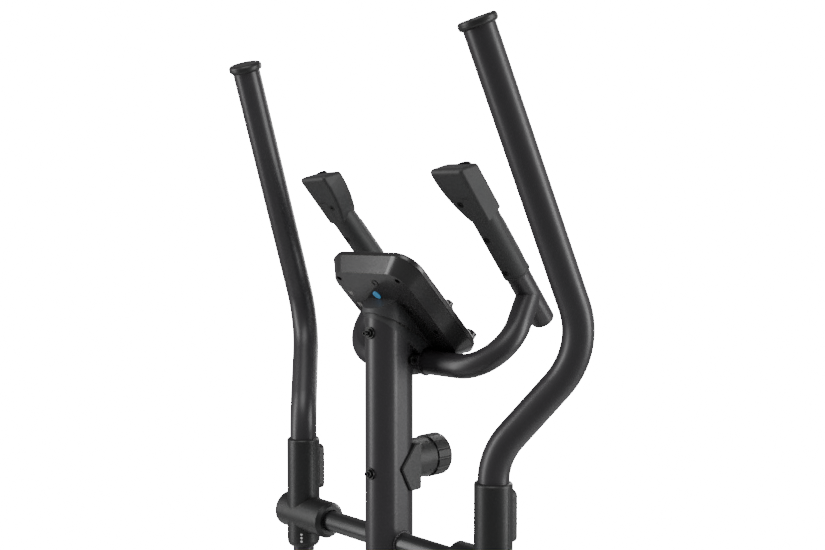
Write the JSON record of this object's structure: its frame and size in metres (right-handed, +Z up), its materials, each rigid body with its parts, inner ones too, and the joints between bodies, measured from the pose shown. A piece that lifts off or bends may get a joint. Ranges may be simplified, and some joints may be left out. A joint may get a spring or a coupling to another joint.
{
  "type": "elliptical trainer",
  "caption": "Rear-drive elliptical trainer with an upright mast, two swinging handles, a fixed handlebar with pulse grips, a tilted console, foot trays on rails and a shrouded flywheel drive.",
  "frame": {"origin": "on the floor at the centre of the footprint", "axes": "+Z up, +Y towards the user and the rear of the machine, +X towards the user's left"},
  "size_m": [0.6, 1.15, 1.5916],
  "materials": {
    "frame_paint": "satin powder coat",
    "axle_paint": "semi-gloss",
    "cover_plastic": "fine grain",
    "bracket_plastic": "fine grain",
    "console_plastic": "semi-gloss",
    "plug_plastic": "gloss",
    "screen_glass": "gloss",
    "grip_plastic": "fine grain",
    "bright_metal": "brushed",
    "black_steel": "black oxide",
    "rubber": "matt",
    "iron": "machined",
    "bearing_steel": "ground",
    "bush_plastic": "plain",
    "tread_rubber": "matt"
  },
  "bodies": {
    "frame": {"main_frame": "frame_paint", "mast": "frame_paint", "mast_collar": "cover_plastic", "front_stabiliser": "frame_paint", "rear_stabiliser": "frame_paint", "front_feet": "cover_plastic", "rear_feet": "cover_plastic", "levelling_feet": "rubber", "frame_bolts": "black_steel", "shroud_screws": "black_steel", "shroud_left": "cover_plastic", "shroud_right": "cover_plastic", "pivot_axle": "axle_paint", "crank_bearings": "bearing_steel", "drive_belt": "rubber", "tension_cable": "rubber", "tension_base": "cover_plastic", "mast_bolts": "black_steel", "console_bracket": "bracket_plastic", "console_back": "console_plastic", "console_front": "console_plastic", "console_lens": "screen_glass", "battery_door": "console_plastic", "console_plug": "plug_plastic", "fixed_handlebar": "frame_paint", "grip_shells_front": "grip_plastic", "grip_shells_user": "grip_plastic", "pulse_plates": "bright_metal", "grip_screws": "black_steel", "handlebar_plugs": "cover_plastic"},
    "crank": {"crank_axle": "bearing_steel", "crank_arm_left": "frame_paint", "crank_arm_right": "frame_paint", "drive_pulley": "bush_plastic", "crank_nuts": "bright_metal"},
    "flywheel": {"flywheel": "iron", "flywheel_axle": "bearing_steel"},
    "brake_arm": {"magnet_arm": "bearing_steel"},
    "knob": {"tension_knob": "cover_plastic"},
    "button": {"console_button": "console_plastic"},
    "rail_left": {"pedal_rail_left": "frame_paint", "pedal_left": "cover_plastic", "pedal_pad_left": "tread_rubber"},
    "arm_left": {"swing_arm_left": "frame_paint", "arm_bushes_left": "bush_plastic", "handle_left": "frame_paint", "handle_cap_left": "cover_plastic", "hub_cover_front_left": "cover_plastic", "hub_cover_user_left": "cover_plastic"},
    "wheel_left": {"transport_wheel_left": "tread_rubber"},
    "rail_right": {"pedal_rail_right": "frame_paint", "pedal_right": "cover_plastic", "pedal_pad_right": "tread_rubber"},
    "arm_right": {"swing_arm_right": "frame_paint", "arm_bushes_right": "bush_plastic", "handle_right": "frame_paint", "handle_cap_right": "cover_plastic", "hub_cover_front_right": "cover_plastic", "hub_cover_user_right": "cover_plastic"},
    "wheel_right": {"transport_wheel_right": "tread_rubber"}
  },
  "joints": [
    {"name": "crank_spin", "type": "hinge", "parent": "frame", "child": "crank", "pos_m": [0, 0.27, 0.32], "axis": [1, 0, 0], "continuous": true},
    {"name": "flywheel_spin", "type": "hinge", "parent": "frame", "child": "flywheel", "pos_m": [0, 0.095, 0.29], "axis": [1, 0, 0], "continuous": true},
    {"name": "rail_left_pivot", "type": "hinge", "parent": "crank", "child": "rail_left", "pos_m": [0.135, 0.27, 0.45], "axis": [1, 0, 0], "continuous": true},
    {"name": "rail_right_pivot", "type": "hinge", "parent": "crank", "child": "rail_right", "pos_m": [-0.135, 0.27, 0.19], "axis": [1, 0, 0], "continuous": true},
    {"name": "arm_left_swing", "type": "hinge", "parent": "frame", "child": "arm_left", "pos_m": [0.18, -0.33, 0.95], "axis": [1, 0, 0], "range_deg": [-12, 12]},
    {"name": "arm_right_swing", "type": "hinge", "parent": "frame", "child": "arm_right", "pos_m": [-0.18, -0.33, 0.95], "axis": [1, 0, 0], "range_deg": [-12, 12]},
    {"name": "tension_turn", "type": "hinge", "parent": "frame", "child": "knob", "pos_m": [0, -0.258, 1.05], "axis": [0, 1, 0], "range_deg": [0, 315]},
    {"name": "brake_arm_swing", "type": "hinge", "parent": "frame", "child": "brake_arm", "pos_m": [0.001, -0.025, 0.16], "axis": [1, 0, 0], "range_deg": [-2.5, 0]},
    {"name": "wheel_left_spin", "type": "hinge", "parent": "frame", "child": "wheel_left", "pos_m": [0.27, -0.5505, 0.027], "axis": [1, 0, 0], "continuous": true},
    {"name": "wheel_right_spin", "type": "hinge", "parent": "frame", "child": "wheel_right", "pos_m": [-0.27, -0.5505, 0.027], "axis": [1, 0, 0], "continuous": true},
    {"name": "button_press", "type": "slide", "parent": "frame", "child": "button", "axis": [0, -0.7071, -0.7071], "range_m": [0, 0.0015], "stiffness_N_per_m": 400, "springref_m": -0.001}
  ],
  "couplings": [
    {"joint": "flywheel_spin", "follows": "crank_spin", "ratio": 5},
    {"joint": "rail_left_pivot", "follows": "crank_spin", "ratio": -1},
    {"joint": "rail_right_pivot", "follows": "crank_spin", "ratio": -1},
    {"joint": "arm_right_swing", "follows": "arm_left_swing", "ratio": -1},
    {"joint": "brake_arm_swing", "follows": "tension_turn", "ratio": -0.0079365}
  ]
}
